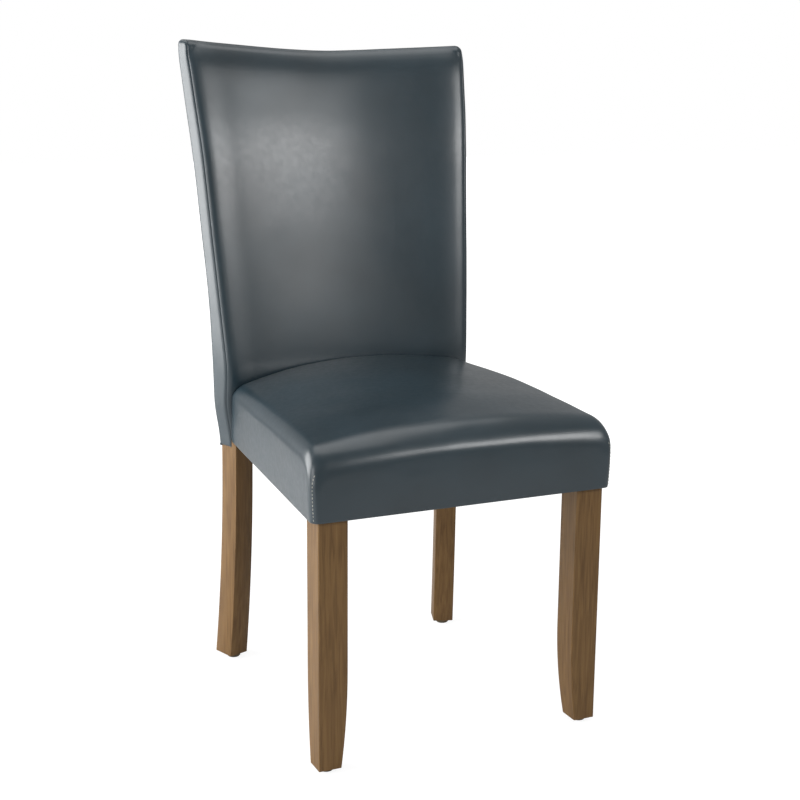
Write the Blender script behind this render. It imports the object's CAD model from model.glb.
import math

import bpy
from mathutils import Matrix, Vector, noise


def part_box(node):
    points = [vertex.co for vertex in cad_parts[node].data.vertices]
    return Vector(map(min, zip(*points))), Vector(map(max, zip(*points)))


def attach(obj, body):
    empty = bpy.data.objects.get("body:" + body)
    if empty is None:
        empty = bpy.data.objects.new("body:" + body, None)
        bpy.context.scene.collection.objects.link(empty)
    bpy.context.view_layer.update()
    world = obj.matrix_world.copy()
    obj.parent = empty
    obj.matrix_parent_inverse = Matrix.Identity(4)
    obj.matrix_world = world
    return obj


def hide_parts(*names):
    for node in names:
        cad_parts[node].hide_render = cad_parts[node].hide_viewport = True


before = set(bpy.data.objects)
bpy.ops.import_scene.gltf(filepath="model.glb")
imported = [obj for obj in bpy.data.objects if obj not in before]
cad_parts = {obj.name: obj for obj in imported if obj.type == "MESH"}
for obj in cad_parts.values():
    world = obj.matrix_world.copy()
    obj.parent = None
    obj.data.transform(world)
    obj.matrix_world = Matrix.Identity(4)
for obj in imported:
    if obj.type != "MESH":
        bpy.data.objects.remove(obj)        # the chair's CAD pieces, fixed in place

# Parsons chair: leather covers, stitched seams, stained legs and studio around the fixed frame.
# Metres, +Z up, the chair faces -Y. Left and right are the sitter's: left is +X.

bpy.ops.object.select_all(action="DESELECT")
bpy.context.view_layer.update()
mm = 0.001
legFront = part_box("front_leg_left")[0].y  # front face of the front legs
sides = ((1, "left"), (-1, "right"))


# Shape of the upholstery, in millimetres behind the front legs' faces and above the floor

back = {
    "spread": 404, "setback": 425, "angle": math.radians(19.4),  # rear posts, turned about one upright axis
    "leanStart": 430, "leanRun": 110, "leanSlope": 0.155,
    "headStart": 815, "headRun": 90, "headSlope": 0.10,
    "postDepth": 37.5, "postHead": 22, "thinStart": 430, "thinRun": 230,
    "skin": 2.1, "frontPad": 10, "padStart": 440, "padRun": 70,
    "sidePad": 10, "sideRun": 80, "sideSwell": 2.6, "sideFade": 120,
    "rearBuild": 5.6, "rearSwell": 1.5, "rearStart": 520, "rearFade": 100, "swellRun": 160, "swellEnd": 1010,
    "cornerPull": 4, "pullStart": 985, "pullRun": 40,
    "hem": 376, "hemTurn": 4, "tuck": 446,
    "topGuess": 1000, "dipHeight": 1007.3, "dipShift": 16, "dipHalf": 205,
    "dipLeft": 10.2, "dipLeftPower": 1.15, "dipRight": 9.2, "dipRightPower": 1.6,
    "roll": 11, "rearRoll": 10, "hemRoll": 0.75, "hemRollRun": 120,
    "edgeRun": 44, "edgeFall": 11, "seamDip": (0.7, 0.45, 0.2), "leather": 1.5,
}
seat = {
    "front": -7, "halfWidth": 233.5, "taper": 29.4, "length": 425,
    "hemFront": 374, "hemRise": 9, "peak": 508, "peakPlace": 290, "fall": 8,
    "roll": 28, "nose": 42, "corner": 14, "crown": 1028, "bulge": 7, "bulgeFade": 0.6, "bulgeLow": 330,
    "rearRoll": 7, "sinkStart": 440, "sinkRun": 40, "endRecess": 12, "flange": 18,
    "upperStart": 430, "upperRun": 60, "frontFlat": 12, "flatRun": 130,
    "rearLift": 9.5, "liftStart": -10, "liftRun": 300,
}
hemFold = ((0.5, 0.9), (1.2, 0.5))  # first steps of a turned hem: inwards, down
postRadius = back["spread"] / 2 / math.sin(back["angle"])
axisY = back["setback"] - postRadius * math.cos(back["angle"])


def metres(x, y, z):
    return Vector((x * mm, legFront + y * mm, z * mm))


def bend(height, start, run):
    past = max(0.0, height - start)
    return past * past / (2 * run) if past < run else past - run / 2


def ease(share):
    share = min(1.0, max(0.0, share))
    return share * share * (3 - 2 * share)


def drop(radius, depth):
    return radius - math.sqrt(max(0.0, radius * radius - max(0.0, radius - depth) ** 2))


def postFront(z):
    lean = back["leanSlope"] * bend(z, back["leanStart"], back["leanRun"])
    return postRadius + lean + back["headSlope"] * bend(z, back["headStart"], back["headRun"])


def coverFront(z):
    return postFront(z) - back["skin"] - back["frontPad"] * ease((z - back["padStart"]) / back["padRun"])


def coverRear(z):
    thinned = (back["postHead"] - back["postDepth"]) * ease((z - back["thinStart"]) / back["thinRun"])
    swell = ease((z - back["rearStart"]) / back["swellRun"]) * ease((back["swellEnd"] - z) / back["rearFade"])
    return postFront(z) + back["postDepth"] + thinned + back["rearBuild"] + back["rearSwell"] * swell


def coverSide(z):
    padding = back["sidePad"] * ease((z - back["hem"]) / back["sideRun"])
    swell = ease((z - back["hem"]) / back["swellRun"]) * ease((back["swellEnd"] - z) / back["sideFade"])
    pulled = back["cornerPull"] * ease((z - back["pullStart"]) / back["pullRun"])
    return back["skin"] + padding + back["sideSwell"] * swell - pulled


def topEdge(x):
    share = abs(x - back["dipShift"]) / back["dipHalf"]
    if x > back["dipShift"]:
        return back["dipHeight"] + back["dipLeft"] * share ** back["dipLeftPower"]
    return back["dipHeight"] + back["dipRight"] * share ** back["dipRightPower"]


def backPlace(across, depth, height=None, below=None, inset=0.0):
    # across runs from -1 to 1 between the side faces, depth from 0 to 1 between the front and rear faces;
    # the place is given by its height, or by how far it lies below the top edge
    z = height if height is not None else back["topGuess"]
    for attempt in range(3):
        front = coverFront(z)
        thick = coverRear(z) - front
        half = (front + thick / 2) * back["angle"] + coverSide(z)
        x = math.sin(across * half / (front + thick / 2)) * (front + depth * thick)
        top = topEdge(x)
        if height is None:
            z = top - below
    roll = back["roll"] + (back["rearRoll"] - back["roll"]) * ease(depth)
    roll *= back["hemRoll"] + (1 - back["hemRoll"]) * ease((z - back["hem"]) / back["hemRollRun"])
    place = [across * half, depth * thick, top - z]
    held = [
        min(half - roll, max(roll - half, place[0])),
        min(thick - roll, max(roll, place[1])),
        max(roll, place[2]),
    ]
    away = [a - b for a, b in zip(place, held)]
    reach = math.sqrt(sum(part * part for part in away))
    if reach > 1e-6:
        place = [b + a * (roll - inset) / reach for a, b in zip(away, held)]
    z = top - place[2]
    front = coverFront(z)
    radius = front + place[1]
    fromSide = max(0.0, 1 - (half - abs(place[0])) / back["edgeRun"])
    fromTop = max(0.0, 1 - place[2] / back["edgeRun"])
    radius += (1 - depth) * back["edgeFall"] * min(1.0, fromSide ** 2 + fromTop ** 2)
    angle = place[0] / (front + thick / 2)
    return metres(radius * math.sin(angle), axisY + radius * math.cos(angle), z)


def hemHeight(y):
    return seat["hemFront"] + seat["hemRise"] * y / seat["length"]


def seatHalf(y):
    return seat["halfWidth"] - seat["taper"] * y / seat["length"]


def seatTop(y):
    return seat["peak"] - seat["fall"] * ((y - seat["peakPlace"]) / seat["peakPlace"]) ** 2


# Small tools

def onlySelect(*objects):
    bpy.ops.object.select_all(action="DESELECT")
    for item in objects:
        item.select_set(True)
    bpy.context.view_layer.objects.active = objects[0]


def grid(name, columns, rows, place):
    bpy.ops.object.select_all(action="DESELECT")
    bpy.ops.mesh.primitive_grid_add(x_subdivisions=columns, y_subdivisions=rows, size=1)
    piece = bpy.context.object
    piece.name = piece.data.name = name
    for vertex in piece.data.vertices:
        vertex.co = place(round((vertex.co.x + 0.5) * columns), round((vertex.co.y + 0.5) * rows))
    return piece


def applied(piece, kind, **settings):
    onlySelect(piece)
    modifier = piece.modifiers.new(kind.title(), kind)
    for setting, value in settings.items():
        setattr(modifier, setting, value)
    bpy.ops.object.modifier_apply(modifier=modifier.name)


def merged(*pieces):
    onlySelect(*pieces)
    if len(pieces) > 1:
        bpy.ops.object.join()
    bpy.ops.object.mode_set(mode="EDIT")
    bpy.ops.mesh.select_all(action="SELECT")
    bpy.ops.mesh.remove_doubles(threshold=0.00002)
    bpy.ops.object.mode_set(mode="OBJECT")
    return pieces[0]


def sculpted(piece, height):
    # moves every point along its normal by height(point in mm, normal)
    normals = [vertex.normal.copy() for vertex in piece.data.vertices]
    for vertex, normal in zip(piece.data.vertices, normals):
        vertex.co += normal * height(vertex.co / mm, normal) * mm


def capped(piece, triangles=False):
    # closes the open borders with flat caps
    onlySelect(piece)
    bpy.ops.object.mode_set(mode="EDIT")
    bpy.ops.mesh.select_all(action="DESELECT")
    bpy.ops.mesh.select_mode(type="EDGE")
    bpy.ops.mesh.select_non_manifold()
    bpy.ops.mesh.edge_face_add()
    bpy.ops.mesh.select_all(action="SELECT")
    if triangles:
        bpy.ops.mesh.quads_convert_to_tris()
    bpy.ops.mesh.normals_make_consistent(inside=False)
    bpy.ops.object.mode_set(mode="OBJECT")


def finished(piece, material, smooth=40):
    piece.data.materials.clear()
    piece.data.materials.append(material)
    onlySelect(piece)
    bpy.ops.object.shade_smooth_by_angle(angle=math.radians(smooth))
    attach(piece, "root")


# Materials

def material(name):
    made = bpy.data.materials.new(name)
    made.use_nodes = True
    return made, made.node_tree.nodes, made.node_tree.links, made.node_tree.nodes["Principled BSDF"]


def node(nodes, kind, **settings):
    made = nodes.new(kind)
    for setting, value in settings.items():
        if setting in made.inputs:
            made.inputs[setting].default_value = value
        else:
            setattr(made, setting, value)
    return made


def ramp(nodes, stops):
    made = nodes.new("ShaderNodeValToRGB")
    while len(made.color_ramp.elements) < len(stops):
        made.color_ramp.elements.new(0.5)
    for element, (place, colour) in zip(made.color_ramp.elements, stops):
        element.position = place
        element.color = (*colour, 1)
    return made


def mapped(nodes, fromMin, fromMax, toMin, toMax):
    made = nodes.new("ShaderNodeMapRange")
    for setting, value in (("From Min", fromMin), ("From Max", fromMax), ("To Min", toMin), ("To Max", toMax)):
        made.inputs[setting].default_value = value
    return made


def srgb(red, green, blue):
    return tuple(((part / 255 + 0.055) / 1.055) ** 2.4 for part in (red, green, blue))


def coloured(nodes, links, shader, pattern, stops):
    tint = ramp(nodes, stops)
    links.new(pattern.outputs["Fac"], tint.inputs["Fac"])
    links.new(tint.outputs["Color"], shader.inputs["Base Color"])


def embossed(nodes, links, shader, pattern, strength, distance):
    bump = node(nodes, "ShaderNodeBump", Strength=strength, Distance=distance)
    links.new(pattern.outputs["Fac"], bump.inputs["Height"])
    links.new(bump.outputs["Normal"], shader.inputs["Normal"])


def leatherMaterial(name, dark, light):
    made, nodes, links, shader = material(name)
    spot = node(nodes, "ShaderNodeTexCoord")
    cloud = node(nodes, "ShaderNodeTexNoise", Scale=9, Detail=3)
    links.new(spot.outputs["Object"], cloud.inputs["Vector"])
    coloured(nodes, links, shader, cloud, ((0.3, dark), (0.75, light)))
    grain = node(nodes, "ShaderNodeTexVoronoi", Scale=900)
    links.new(spot.outputs["Object"], grain.inputs["Vector"])
    soft = node(nodes, "ShaderNodeTexNoise", Scale=120, Detail=4)
    links.new(spot.outputs["Object"], soft.inputs["Vector"])
    sheen = mapped(nodes, 0.3, 0.7, 0.32, 0.38)
    links.new(soft.outputs["Fac"], sheen.inputs["Value"])
    links.new(sheen.outputs["Result"], shader.inputs["Roughness"])
    fine = node(nodes, "ShaderNodeBump", Strength=0.3, Distance=0.00005)
    links.new(grain.outputs["Distance"], fine.inputs["Height"])
    broad = node(nodes, "ShaderNodeBump", Strength=0.4, Distance=0.00008)
    links.new(soft.outputs["Fac"], broad.inputs["Height"])
    links.new(fine.outputs["Normal"], broad.inputs["Normal"])
    links.new(broad.outputs["Normal"], shader.inputs["Normal"])
    shader.inputs["Specular IOR Level"].default_value = 0.65
    shader.inputs["Coat Weight"].default_value = 0.25
    shader.inputs["Coat Roughness"].default_value = 0.22
    return made


def woodMaterial(name, dark, light, gloss, turn):
    made, nodes, links, shader = material(name)
    spot = node(nodes, "ShaderNodeTexCoord")
    stretch = node(nodes, "ShaderNodeMapping")
    stretch.inputs["Scale"].default_value = turn
    links.new(spot.outputs["Object"], stretch.inputs["Vector"])
    figure = node(nodes, "ShaderNodeTexNoise", Scale=6, Detail=5, Distortion=0.6)
    links.new(stretch.outputs["Vector"], figure.inputs["Vector"])
    coloured(nodes, links, shader, figure, ((0.3, dark), (0.7, light)))
    embossed(nodes, links, shader, figure, 0.3, 0.0002)
    shader.inputs["Roughness"].default_value = gloss
    shader.inputs["Specular IOR Level"].default_value = 0.3
    return made


def plainMaterial(name, dark, light, roughness, scale, metallic=0.0):
    made, nodes, links, shader = material(name)
    spot = node(nodes, "ShaderNodeTexCoord")
    cloud = node(nodes, "ShaderNodeTexNoise", Scale=scale, Detail=4)
    links.new(spot.outputs["Object"], cloud.inputs["Vector"])
    coloured(nodes, links, shader, cloud, ((0.3, dark), (0.7, light)))
    embossed(nodes, links, shader, cloud, 0.4, 0.0003)
    shader.inputs["Roughness"].default_value = roughness
    shader.inputs["Metallic"].default_value = metallic
    return made


leather = leatherMaterial("SlateLeather", srgb(23, 38, 45), srgb(31, 47, 55))
walnutStain = woodMaterial("StainedLeg", srgb(88, 63, 33), srgb(114, 86, 50), 0.45, (40, 40, 2.2))
railBeech = woodMaterial("RailTimber", srgb(170, 132, 92), srgb(198, 160, 116), 0.6, (3, 40, 40))
plyBoard = woodMaterial("PlyPanel", srgb(182, 146, 104), srgb(206, 172, 130), 0.65, (40, 40, 3))
greyFoam = plainMaterial("SeatFoam", srgb(196, 196, 188), srgb(214, 212, 202), 0.95, 420)
polyWadding = plainMaterial("Wadding", srgb(224, 224, 220), srgb(240, 240, 236), 1.0, 180)
juteWebbing = plainMaterial("WebbingJute", srgb(140, 118, 84), srgb(172, 148, 108), 0.95, 600)
dustCloth = plainMaterial("DustCloth", srgb(26, 26, 28), srgb(38, 38, 40), 0.95, 900)
tackCard = plainMaterial("TackCard", srgb(150, 128, 98), srgb(168, 146, 116), 0.9, 300)
glideNylon = plainMaterial("GlideNylon", srgb(74, 64, 46), srgb(92, 82, 60), 0.45, 160)
screwSteel = plainMaterial("ScrewSteel", srgb(150, 150, 150), srgb(176, 176, 176), 0.35, 300, 1.0)
slotMaterials = {
    "wood": walnutStain, "rail_wood": railBeech, "plywood": plyBoard, "leather": leather, "foam": greyFoam,
    "wadding": polyWadding, "webbing": juteWebbing, "dust_cloth": dustCloth, "card": tackCard,
    "glide_plastic": glideNylon, "steel": screwSteel,
}
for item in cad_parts.values():
    for place in item.material_slots:
        slotName = place.material.name if place.material else "rail_wood"
        place.material = slotMaterials.get(slotName, railBeech)
print("materials on", len(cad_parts), "CAD nodes")


# Back: front leather, two boxing strips and the outside back, meeting on the rounded edges

backGrid = {"half": 214, "columns": 22, "rise": 18, "frontRows": 29, "hemRows": 33, "tabColumns": 8, "tabRows": 4}
edgeSteps = [0, 0.5, 1.2, 2.2, 3.4, 5, 7, 9.5, 12, 15, 20]
middleWidth = 2 * (backGrid["half"] - edgeSteps[-1])
acrossStops = [-1 + step / backGrid["half"] for step in edgeSteps]
for step in range(1, backGrid["columns"]):
    acrossStops.append(-1 + (edgeSteps[-1] + middleWidth * step / backGrid["columns"]) / backGrid["half"])
acrossStops += [1 - step / backGrid["half"] for step in reversed(edgeSteps)]
riseStops = [("height", back["tuck"] + backGrid["rise"] * step) for step in range(backGrid["frontRows"])]
riseStops += [("below", step) for step in (40, 30, 22, 18, 16, 13.5, 11, 9, 7, 5, 3.4, 2.2, 1.2, 0.5)]
hemRise = [("height", back["hem"] + backGrid["rise"] * step) for step in range(backGrid["hemRows"])]
hemRise += riseStops[backGrid["frontRows"]:] + [("below", 0)]
overStops = [0, 0.03, 0.07, 0.12, 0.18, 0.25, 0.32, 0.4, 0.5, 0.6, 0.68, 0.75, 0.82, 0.88, 0.93, 0.97, 1]
frontRows = [(rise, 0) for rise in riseStops] + [(("below", 0), depth) for depth in overStops]
lastAcross, lastOver, lastFront, lastHem = (len(stops) - 1 for stops in (acrossStops, overStops, frontRows, hemRise))


def seamInset(*fromBorder):
    # the leather dips where it is sewn: counted in steps from the nearest border
    nearest = min(fromBorder)
    return back["seamDip"][nearest] if nearest < len(back["seamDip"]) else 0.0


def insideBackPlace(column, row):
    (kind, value), depth = frontRows[row]
    inset = seamInset(column, lastAcross - column, lastFront - row)
    return backPlace(acrossStops[column], depth, inset=inset, **{kind: value})


insideBack = grid("inside_back_leather", lastAcross, lastFront, insideBackPlace)

# beside the seat the front leather runs down to the hem as a narrow tab
tabRise = [back["hem"] + backGrid["rise"] * step for step in range(backGrid["tabRows"])] + [back["tuck"]]
tabs = []
for first in (0, lastAcross - backGrid["tabColumns"]):
    def tabPlace(column, row):
        inset = seamInset(first + column, lastAcross - first - column)
        return backPlace(acrossStops[first + column], 0, inset=inset, height=tabRise[row])

    tabs.append(grid("back_tab", backGrid["tabColumns"], backGrid["tabRows"], tabPlace))
insideBack = merged(insideBack, *tabs)


def outsideBackPlace(column, row):
    kind, value = hemRise[row]
    inset = seamInset(column, lastAcross - column, lastHem - row)
    return backPlace(-acrossStops[column], 1, inset=inset, **{kind: value})


outsideBack = grid("outside_back_leather", lastAcross, lastHem, outsideBackPlace)
boxing = {}
for side, sideName in sides:
    def boxingPlace(column, row):
        kind, value = hemRise[row]
        depth = overStops[column] if side > 0 else 1 - overStops[column]
        inset = seamInset(column, lastOver - column, lastHem - row)
        return backPlace(side, depth, inset=inset, **{kind: value})

    boxing[sideName] = grid("side_boxing_leather_" + sideName, lastOver, lastHem, boxingPlace)
print("back leather placed")


# Seat: one leather top over the nose, with a sewn front corner on each side

seatColumns = {"side": 10, "roll": 8, "crown": 22}
seatAcross = 2 * (seatColumns["side"] + seatColumns["roll"]) + seatColumns["crown"]
noseRows = 10


def seatProfile(y, column):
    # a point of the seat's section at y: right hem, up the side, over the roll and the crown, down to the left hem
    side = -1 if column <= seatAcross // 2 else 1
    if side > 0:
        column = seatAcross - column
    depth = y - seat["front"]
    inward = drop(seat["corner"], depth)
    bulge = seat["bulge"] * (1 - seat["bulgeFade"] * max(0.0, y) / seat["length"])
    wide = seatHalf(y) - inward + bulge
    top = seatTop(y) - drop(seat["nose"], depth)
    roll, crown = seat["roll"], seat["crown"]
    centre = top - crown + math.sqrt((crown - roll) ** 2 - (wide - roll) ** 2)
    lean = math.atan2(wide - roll, centre - top + crown)
    hem = hemHeight(y)
    if column <= seatColumns["side"]:
        share = column / seatColumns["side"]
        z = hem + (centre - hem) * share
        sideRadius = (bulge ** 2 + (centre - seat["bulgeLow"]) ** 2) / (2 * bulge)
        x = wide - sideRadius + math.sqrt(sideRadius ** 2 - (centre - z) ** 2)
    elif column <= seatColumns["side"] + seatColumns["roll"]:
        angle = (math.pi / 2 - lean) * (column - seatColumns["side"]) / seatColumns["roll"]
        x = wide - roll + roll * math.cos(angle)
        z = centre + roll * math.sin(angle)
    else:
        share = (column - seatColumns["side"] - seatColumns["roll"]) / (seatColumns["crown"] / 2)
        angle = lean * (1 - share)
        x = crown * math.sin(angle)
        z = top - crown + crown * math.cos(angle)
    return side * x, z


def seatEnd(column):
    # where this column meets the back's leather
    y = seat["length"]
    for attempt in range(6):
        x, z = seatProfile(y, column)
        front = coverFront(z)
        thick = coverRear(z) - front
        fromSide = (front + thick / 2) * (back["angle"] - math.asin(abs(x) / front)) + coverSide(z)
        fall = back["edgeFall"] * max(0.0, 1 - fromSide / back["edgeRun"]) ** 2
        radius = front + back["leather"] + min(seat["endRecess"], drop(back["roll"], fromSide) + fall)
        y = axisY + math.sqrt(radius * radius - x * x)
    return y


def seatShape(y, column):
    # the crown is flat at the nose and a little fuller at the left rear
    x, z = seatProfile(y, column)
    upper = ease((z - seat["upperStart"]) / seat["upperRun"])
    depth = (y - seat["front"]) / seat["flatRun"]
    flat = seat["frontFlat"] * (1 - (x / seat["halfWidth"]) ** 2) * (1 - ease(depth))
    lift = seat["rearLift"] * x / seat["halfWidth"] * ease((y - seat["liftStart"]) / seat["liftRun"])
    return x, z + upper * (lift - max(0.0, flat))


seatEnds = [seatEnd(column) for column in range(seatAcross + 1)]
alongShares = [0.02, 0.05] + [0.05 + 0.87 * step / 18 for step in range(1, 19)]
alongShares += [0.945, 0.965, 0.98, 0.99, 0.996, 1.0]


def seatPlace(column, row):
    nose = seat["front"] + seat["nose"]
    if row <= noseRows:
        y = seat["front"] + seat["nose"] * (1 - math.cos(math.pi / 2 * row / noseRows))
    else:
        y = nose + (seatEnds[column] - nose) * alongShares[row - noseRows - 1]
    x, z = seatShape(y, column)
    left = max(0.0, seatEnds[column] - y)
    if left < seat["rearRoll"] and column not in (0, seatAcross):
        upper = min(1.0, max(0.0, (z - seat["sinkStart"]) / seat["sinkRun"]))
        z -= drop(seat["rearRoll"], left) * upper
    return metres(x, y, z)


seatBody = grid("seat_leather", seatAcross, noseRows + len(alongShares), seatPlace)
frontAcross = seatColumns["roll"] + seatColumns["crown"]
frontUp = seatColumns["side"] + seatColumns["roll"] // 2


def frontBorder(column):
    x, z = seatShape(seat["front"], column)
    return metres(x, seat["front"], z)


def seatFrontPlace(column, row):
    u, v = column / frontAcross, row / frontUp
    lower = frontBorder(0).lerp(frontBorder(seatAcross), u)
    upper = frontBorder(frontUp + column)
    first = frontBorder(row)
    last = frontBorder(seatAcross - row)
    corners = frontBorder(0).lerp(frontBorder(seatAcross), u).lerp(
        frontBorder(frontUp).lerp(frontBorder(seatAcross - frontUp), u), v)
    return lower.lerp(upper, v) + first.lerp(last, u) - corners


seatFront = grid("seat_front_leather", frontAcross, frontUp, seatFrontPlace)
seatCover = merged(seatBody, seatFront)


relief = {
    "bulge": 2.5, "bulgeHalf": 215, "bulgeLow": 376, "bulgeTall": 100,
    "seamDepth": 1.2, "seamWidth": 3.0, "seamTop": 480, "seamRun": 25,
    "fold": 0.45, "foldWave": 6.5, "foldSway": 5.1, "foldLow": 372, "foldLowRun": 30, "foldTop": 480, "foldTopRun": 60,
    "foldStart": 2, "foldStartRun": 20, "foldEnd": 330, "foldEndRun": 200,
    "broad": 0.8, "broadWave": 55, "fine": 0.25, "fineWave": 17, "noiseLow": 430,
    "backBroad": 0.7, "backFine": 0.22, "backLow": 380, "backRun": 40,
}


def seatRelief(spot, normal):
    # front face slightly full, sewn front corners, soft upright folds on the sides and a slightly uneven top
    x, y, z = spot.x, spot.y - legFront / mm, spot.z
    rise = 0.0
    if normal.y < -0.6 and abs(x) < relief["bulgeHalf"]:
        up = min(1.0, max(0.0, (z - relief["bulgeLow"]) / relief["bulgeTall"]))
        rise += relief["bulge"] * math.sin(math.pi * up) * (1 - (x / relief["bulgeHalf"]) ** 4)
    away = abs(y - seat["front"] - seat["corner"] * (1 - math.cos(math.pi / 4)))
    if abs(normal.x) > 0.5 and z < relief["seamTop"]:
        fade = ease((relief["seamTop"] - z) / relief["seamRun"])
        rise -= relief["seamDepth"] * fade * max(0.0, 1 - away / relief["seamWidth"]) ** 2
    if abs(normal.x) > 0.6 and z < relief["foldTop"]:
        fold = math.sin(y / relief["foldWave"] + relief["foldSway"] * noise.noise((y / 40, z / 60, 3.0)))
        fade = ease((y - relief["foldStart"]) / relief["foldStartRun"])
        fade *= ease((relief["foldEnd"] - y) / relief["foldEndRun"])
        fade *= ease((relief["foldTop"] - z) / relief["foldTopRun"])
        fade *= ease((z - relief["foldLow"]) / relief["foldLowRun"])
        rise += relief["fold"] * fade * fold * (0.6 + 0.6 * noise.noise((y / 60, z / 80, 9.0)))
    if z > relief["noiseLow"]:
        rise += relief["broad"] * noise.noise(Vector((x, y, z)) / relief["broadWave"])
        rise += relief["fine"] * noise.noise(Vector((x, y, z)) / relief["fineWave"])
    return rise


def backRelief(spot, normal):
    x, y, z = spot
    broad = relief["backBroad"] * noise.noise((x / 90, y / 90, z / 120))
    fine = relief["backFine"] * noise.noise((x / 22, y / 22, z / 30))
    return ease((z - relief["backLow"]) / relief["backRun"]) * (broad + fine)


def turnedUnder(piece, level, steps):
    # the lower border is folded inwards, in steps of (inwards, down) millimetres
    for inwards, down in steps:
        onlySelect(piece)
        bpy.ops.object.mode_set(mode="EDIT")
        bpy.ops.mesh.select_all(action="DESELECT")
        bpy.ops.object.mode_set(mode="OBJECT")
        rim = set()
        counts = {}
        for face in piece.data.polygons:
            for key in face.edge_keys:
                counts[key] = counts.get(key, 0) + 1
        for (first, second), count in counts.items():
            ends = (piece.data.vertices[first], piece.data.vertices[second])
            if count == 1 and all(end.co.z / mm < level(end.co) for end in ends):
                rim.update((first, second))
        directions = {}
        for index in rim:
            vertex = piece.data.vertices[index]
            flat = Vector((vertex.normal.x, vertex.normal.y, 0))
            directions[tuple(round(part, 6) for part in vertex.co)] = flat.normalized()
        for edge in piece.data.edges:
            onBorder = counts.get(tuple(sorted(edge.vertices)), 0) == 1
            edge.select = onBorder and all(end in rim for end in edge.vertices)
        bpy.ops.object.mode_set(mode="EDIT")
        bpy.ops.mesh.select_mode(type="EDGE")
        bpy.ops.mesh.extrude_edges_move()
        bpy.ops.object.mode_set(mode="OBJECT")
        for vertex in piece.data.vertices:
            if vertex.select:
                inward = directions[tuple(round(part, 6) for part in vertex.co)]
                vertex.co -= inward * inwards * mm
                vertex.co.z -= down * mm


sculpted(seatCover, seatRelief)


# The seat's stuffing under the leather, from the webbing up

stuffing = {"under": 3.5, "low": 443.2, "rear": 2.5, "rearRun": 200}
onlySelect(seatCover)
bpy.ops.object.duplicate()
seatPad = bpy.context.object
seatPad.name = seatPad.data.name = "seat_stuffing"
sculpted(seatPad, lambda spot, normal: -stuffing["under"])
for vertex in seatPad.data.vertices:
    vertex.co.y -= stuffing["rear"] * mm * ease((vertex.co.y - legFront) / mm / stuffing["rearRun"])
onlySelect(seatPad)
bpy.ops.object.mode_set(mode="EDIT")
bpy.ops.mesh.select_all(action="SELECT")
bpy.ops.mesh.bisect(plane_co=(0, 0, stuffing["low"] * mm), plane_no=(0, 0, 1), clear_inner=True)
bpy.ops.object.mode_set(mode="OBJECT")
capped(seatPad, triangles=True)
finished(seatPad, polyWadding)
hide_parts("seat_wadding", "seat_foam")
turnedUnder(seatCover, lambda spot: hemHeight((spot.y - legFront) / mm) + 1, (*hemFold, (seat["flange"], 0)))
for piece in (insideBack, outsideBack, *boxing.values()):
    sculpted(piece, backRelief)
print("seat leather placed")


# Padding of the back, between the frame and the leather

backPadding = {"under": 3.0, "thick": 5.0, "fill": 0.8}


def backPad(name, columns, rows, place, *nodes):
    padding = grid(name, columns, rows, place)
    applied(padding, "SOLIDIFY", thickness=backPadding["thick"] * mm, offset=-1)
    finished(padding, polyWadding)
    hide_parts(*nodes)


def frontPadPlace(column, row):
    (kind, value), depth = frontRows[row]
    return backPlace(acrossStops[column], depth, inset=backPadding["under"], **{kind: value})


backPad("back_front_padding", lastAcross, lastFront, frontPadPlace, "back_front_foam", "back_top_pad")
for side, sideName in sides:
    def sidePadPlace(column, row):
        kind, value = riseStops[row] if row < len(riseStops) else ("below", 0)
        depth = overStops[column] if side > 0 else 1 - overStops[column]
        return backPlace(side, depth, inset=backPadding["under"], **{kind: value})

    backPad("back_side_padding_" + sideName, lastOver, len(riseStops), sidePadPlace, "back_side_pad_" + sideName)
print("padding placed")


# The covers get their thickness

for piece in (outsideBack, *boxing.values()):
    turnedUnder(piece, lambda spot: back["hem"] + 1, (*hemFold, (back["hemTurn"], 0)))

for piece, replaced in (
    (insideBack, "inside_back_cover"), (outsideBack, "outside_back_cover"),
    (boxing["left"], "side_boxing_left"), (boxing["right"], "side_boxing_right"), (seatCover, "seat_cover"),
):
    applied(piece, "SUBSURF", levels=1, render_levels=1)
    applied(piece, "SOLIDIFY", thickness=back["leather"] * mm, offset=-1)
    finished(piece, leather)
    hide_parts(replaced)
print("covers finished")


# Sewn front corners: short pale stitches down each seam

stitch = {"depth": 4.1, "pitch": 5.2, "length": 3.4, "thick": 1.2, "first": 4.0, "upRoll": 4}
paleThread = plainMaterial("PaleThread", srgb(142, 143, 136), srgb(172, 171, 162), 0.8, 700)


def seamPath(side):
    last = seatColumns["side"] + stitch["upRoll"]
    columns = range(last + 1) if side < 0 else range(seatAcross, seatAcross - last - 1, -1)
    spots = [seatShape(seat["front"] + stitch["depth"], column) for column in columns]
    return [metres(x, seat["front"] + stitch["depth"], z) for x, z in spots]


for side, sideName in sides:
    # each stitch is a ball of 1 mm, drawn out along the seam
    path = seamPath(side)
    stitches = []
    reached = stitch["first"]
    for low, high in zip(path, path[1:]):
        length = (high - low).length / mm
        while reached < length:
            place = seatCover.closest_point_on_mesh(low.lerp(high, reached / length))[1]
            turn = (high - low).to_track_quat("Z", "Y")
            bpy.ops.mesh.primitive_uv_sphere_add(segments=8, ring_count=6, radius=0.5 * mm)
            dot = bpy.context.object
            for vertex in dot.data.vertices:
                x, y, z = vertex.co
                vertex.co = place + turn @ Vector((x * stitch["thick"], y * stitch["thick"], z * stitch["length"]))
            stitches.append(dot)
            reached += stitch["pitch"]
        reached -= length
    seam = merged(*stitches)
    seam.name = seam.data.name = "seat_seam_stitches_" + sideName
    finished(seam, paleThread)
print("seam stitches placed")


# Dust cloth under the seat, sagging a little, with a folded edge and staples

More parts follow.
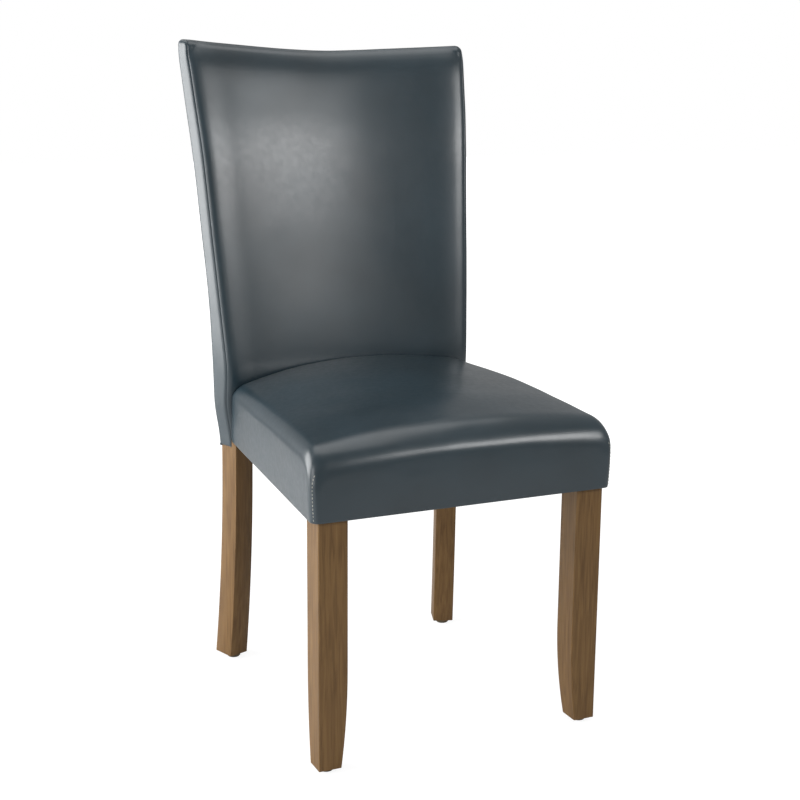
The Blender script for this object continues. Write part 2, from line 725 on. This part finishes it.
dust = {
    "edge": 20.6, "front": 13.2, "reach": 462.2, "thick": 0.8, "up": 0.4,
    "fold": 11, "foldDepth": 0.6, "foldRun": 1.5, "sag": 4, "sagRun": 90, "crease": 0.35, "creaseRun": 30,
    "legInner": 181.5, "legRear": 45, "postInner": 167, "postFront": 423.5, "lastStrip": 424.5,
}
dustAcross = [-1, -0.975, -0.95, -0.945] + [-0.9 + 0.1 * step for step in range(19)] + [0.945, 0.95, 0.975, 1]
dustAlong = [dust["front"] + step for step in (0, 5, 10.5, 11.5, 20, 31)] + [45.5, 52]
dustAlong += [60 + 24 * step for step in range(15)] + [410, 423, dust["lastStrip"]]
dustAlong += [0.3, 0.6, 0.68, 0.72, 0.85, 1.0]  # shares of the last strip, up to the curved rear rail


def dustPlace(column, row):
    y = dustAlong[row]
    inStrip = y <= 1
    if inStrip or y > dust["postFront"]:
        half = dust["postInner"]
    elif y < dust["legRear"]:
        half = dust["legInner"]
    else:
        half = seatHalf(y) - dust["edge"]
    x = dustAcross[column] * half
    toEdge = half - abs(x)
    if inStrip:
        arc = axisY + math.sqrt((dust["reach"] - axisY) ** 2 - x * x)
        y = dust["lastStrip"] + (arc - dust["lastStrip"]) * y
        toEdge = min(toEdge, arc - y)
    toEdge = min(toEdge, y - dust["front"])
    sag = dust["sag"] * ease(toEdge / dust["sagRun"])
    fold = dust["foldDepth"] * (1 - ease((toEdge - dust["fold"] + 1) / dust["foldRun"]))
    crease = dust["crease"] * noise.noise((x / 60, y / 60, 4.0)) * ease(toEdge / dust["creaseRun"])
    return metres(x, y, hemHeight(y) + dust["up"] - sag - fold + crease)


dustPiece = grid("dust_cloth", len(dustAcross) - 1, len(dustAlong) - 1, dustPlace)
applied(dustPiece, "SOLIDIFY", thickness=dust["thick"] * mm, offset=1)
finished(dustPiece, dustCloth)
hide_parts("dust_cover")

staple = {"crown": 10, "wire": 0.8, "inset": 5, "pitch": 40, "frontHalf": 160, "sideStart": 70, "sideEnd": 410}
staples = []
frontRun = range(-staple["frontHalf"], staple["frontHalf"] + 1, staple["pitch"])
sideRun = range(staple["sideStart"], staple["sideEnd"], staple["pitch"])
rows = [("front", x, dust["front"] + staple["inset"]) for x in frontRun]
rows += [("side", side, y) for side, sideName in sides for y in sideRun]
for kind, first, y in rows:
    x = first if kind == "front" else first * (seatHalf(y) - dust["edge"] - staple["inset"])
    z = hemHeight(y) + dust["up"] - dust["foldDepth"] - dust["thick"] / 2 - staple["wire"] / 2
    bpy.ops.mesh.primitive_cylinder_add(vertices=8, radius=staple["wire"] / 2 * mm, depth=staple["crown"] * mm)
    wire = bpy.context.object
    for vertex in wire.data.vertices:
        a, b, c = vertex.co / mm
        vertex.co = metres(x + (c if kind == "front" else a), y + (a if kind == "front" else c), z + b)
    staples.append(wire)
stapleRow = merged(*staples)
stapleRow.name = stapleRow.data.name = "dust_cloth_staples"
finished(stapleRow, screwSteel)
print("dust cloth placed")


# Rear legs: sawn posts whose feet sweep back in a long curve, raked and thinned above the seat

rearLeg = {"sweep": 24.8, "sweepHeight": 389, "foot": 41.0, "width": 35, "low": 6, "top": 996, "ease": 1.2, "steps": 52}


def rearLegPlace(side, column, row):
    z = rearLeg["low"] + (rearLeg["top"] - rearLeg["low"]) * row / rearLeg["steps"]
    past = max(0.0, 1 - z / rearLeg["sweepHeight"]) ** 2
    thinned = (back["postHead"] - back["postDepth"]) * ease((z - back["thinStart"]) / back["thinRun"])
    depth = back["postDepth"] + thinned + (rearLeg["foot"] - back["postDepth"]) * past
    outwards = (0, -rearLeg["width"], -rearLeg["width"], 0, 0)[column]
    radius = postFront(z) + rearLeg["sweep"] * past + (0, 0, depth, depth, 0)[column]
    x = side * (outwards * math.cos(back["angle"]) + radius * math.sin(back["angle"]))
    y = axisY - outwards * math.sin(back["angle"]) + radius * math.cos(back["angle"])
    return metres(x, y, z)


for side, sideName in sides:
    leg = grid("rear_leg_" + sideName, 4, rearLeg["steps"], lambda column, row: rearLegPlace(side, column, row))
    merged(leg)
    capped(leg)
    applied(leg, "BEVEL", width=rearLeg["ease"] * mm, segments=2, limit_method="ANGLE", angle_limit=math.radians(50))
    finished(leg, walnutStain, 35)
    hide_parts("rear_post_" + sideName)
print("rear legs placed")


# Studio: plain white floor and backdrop, soft lights, and the photograph's camera

studio = {
    "floor": 30, "cameraPlace": (-0.9106, -2.0237, 0.9575), "yaw": -24.85, "pitch": 12.49, "roll": 0.48, "lens": 64.67,
    "worldFront": 0.3, "worldRear": 0.42, "frontY": -0.2, "rearY": 0.7,
    "floorPaint": 0.62, "floorGlow": 1.3, "nearStart": 0.5, "nearEnd": 1.6, "nearGlow": 0.68,
}
bpy.ops.object.select_all(action="DESELECT")
bpy.ops.mesh.primitive_plane_add(size=studio["floor"], location=(0, 0, -0.0005))
floor = bpy.context.object
floor.name = "StudioFloor"
floorPaint, nodes, links, shader = material("FloorPaint")
shader.inputs["Base Color"].default_value = (*[studio["floorPaint"]] * 3, 1)
shader.inputs["Roughness"].default_value = 0.9

# the camera sees the floor glow white; near the chair some of its paint shows through, and the shadow on it
lamp = node(nodes, "ShaderNodeEmission", Color=(1, 1, 1, 1), Strength=studio["floorGlow"])
path = node(nodes, "ShaderNodeLightPath")
spot = node(nodes, "ShaderNodeTexCoord")
reach = node(nodes, "ShaderNodeVectorMath", operation="LENGTH")
near = mapped(nodes, studio["nearStart"], studio["nearEnd"], studio["nearGlow"], 1.0)
share = node(nodes, "ShaderNodeMath", operation="MULTIPLY")
mixer = node(nodes, "ShaderNodeMixShader")
links.new(spot.outputs["Object"], reach.inputs[0])
links.new(reach.outputs["Value"], near.inputs["Value"])
links.new(path.outputs["Is Camera Ray"], share.inputs[0])
links.new(near.outputs["Result"], share.inputs[1])
links.new(share.outputs["Value"], mixer.inputs["Fac"])
links.new(shader.outputs["BSDF"], mixer.inputs[1])
links.new(lamp.outputs["Emission"], mixer.inputs[2])
links.new(mixer.outputs["Shader"], nodes["Material Output"].inputs["Surface"])
floor.data.materials.append(floorPaint)

# the world lights a little more from behind, and is plain white for the camera
world = bpy.data.worlds.new("StudioWorld")
bpy.context.scene.world = world
world.use_nodes = True
nodes, links = world.node_tree.nodes, world.node_tree.links
background = nodes["Background"]
background.inputs["Color"].default_value = (1, 1, 1, 1)
spot = node(nodes, "ShaderNodeTexCoord")
parts = node(nodes, "ShaderNodeSeparateXYZ")
fromBehind = mapped(nodes, studio["frontY"], studio["rearY"], studio["worldFront"], studio["worldRear"])
white = node(nodes, "ShaderNodeBackground", Color=(1, 1, 1, 1), Strength=1.0)
path = node(nodes, "ShaderNodeLightPath")
mixer = node(nodes, "ShaderNodeMixShader")
links.new(spot.outputs["Generated"], parts.inputs["Vector"])
links.new(parts.outputs["Y"], fromBehind.inputs["Value"])
links.new(fromBehind.outputs["Result"], background.inputs["Strength"])
links.new(path.outputs["Is Camera Ray"], mixer.inputs["Fac"])
links.new(background.outputs["Background"], mixer.inputs[1])
links.new(white.outputs["Background"], mixer.inputs[2])
links.new(mixer.outputs["Shader"], nodes["World Output"].inputs["Surface"])


def softLight(name, place, target, size, power):
    bpy.ops.object.light_add(type="AREA", location=place)
    light = bpy.context.object
    light.name = name
    light.data.shape = "RECTANGLE"
    light.data.size, light.data.size_y = size
    light.data.energy = power
    aim = (Vector(target) - Vector(place)).to_track_quat("-Z", "Y")
    light.rotation_euler = aim.to_euler()


softLight("LeftLight", (-2.0, 0.6, 1.1), (0, 0, 0.6), (2.4, 1.9), 92)
softLight("RightFrontLight", (1.45, -1.93, 1.62), (0, 0.1, 0.8), (1.3, 0.8), 29)
softLight("LeftFrontLight", (-2.0, -1.55, 1.1), (-0.1, 0, 0.75), (0.7, 1.6), 16)
softLight("TopLight", (0.1, 0.3, 2.6), (0, 0.1, 0.5), (2.0, 1.6), 16)

yaw, pitch, roll = (math.radians(studio[turn]) for turn in ("yaw", "pitch", "roll"))
behind = Vector((math.sin(yaw) * math.cos(pitch), -math.cos(yaw) * math.cos(pitch), math.sin(pitch)))
right = (-behind).cross(Vector((0, 0, 1))).normalized()
up = right.cross(-behind)
cameraRight = math.cos(roll) * right + math.sin(roll) * up
cameraUp = -math.sin(roll) * right + math.cos(roll) * up
bpy.ops.object.camera_add(location=studio["cameraPlace"])
camera = bpy.context.object
camera.name = "PhotoCamera"
cameraTurn = Matrix((cameraRight, cameraUp, behind)).transposed().to_4x4()
camera.matrix_world = Matrix.Translation(studio["cameraPlace"]) @ cameraTurn
camera.data.lens = studio["lens"]
camera.data.sensor_width = 36
bpy.context.scene.camera = camera
bpy.context.scene.view_settings.view_transform = "Standard"
print("studio ready")
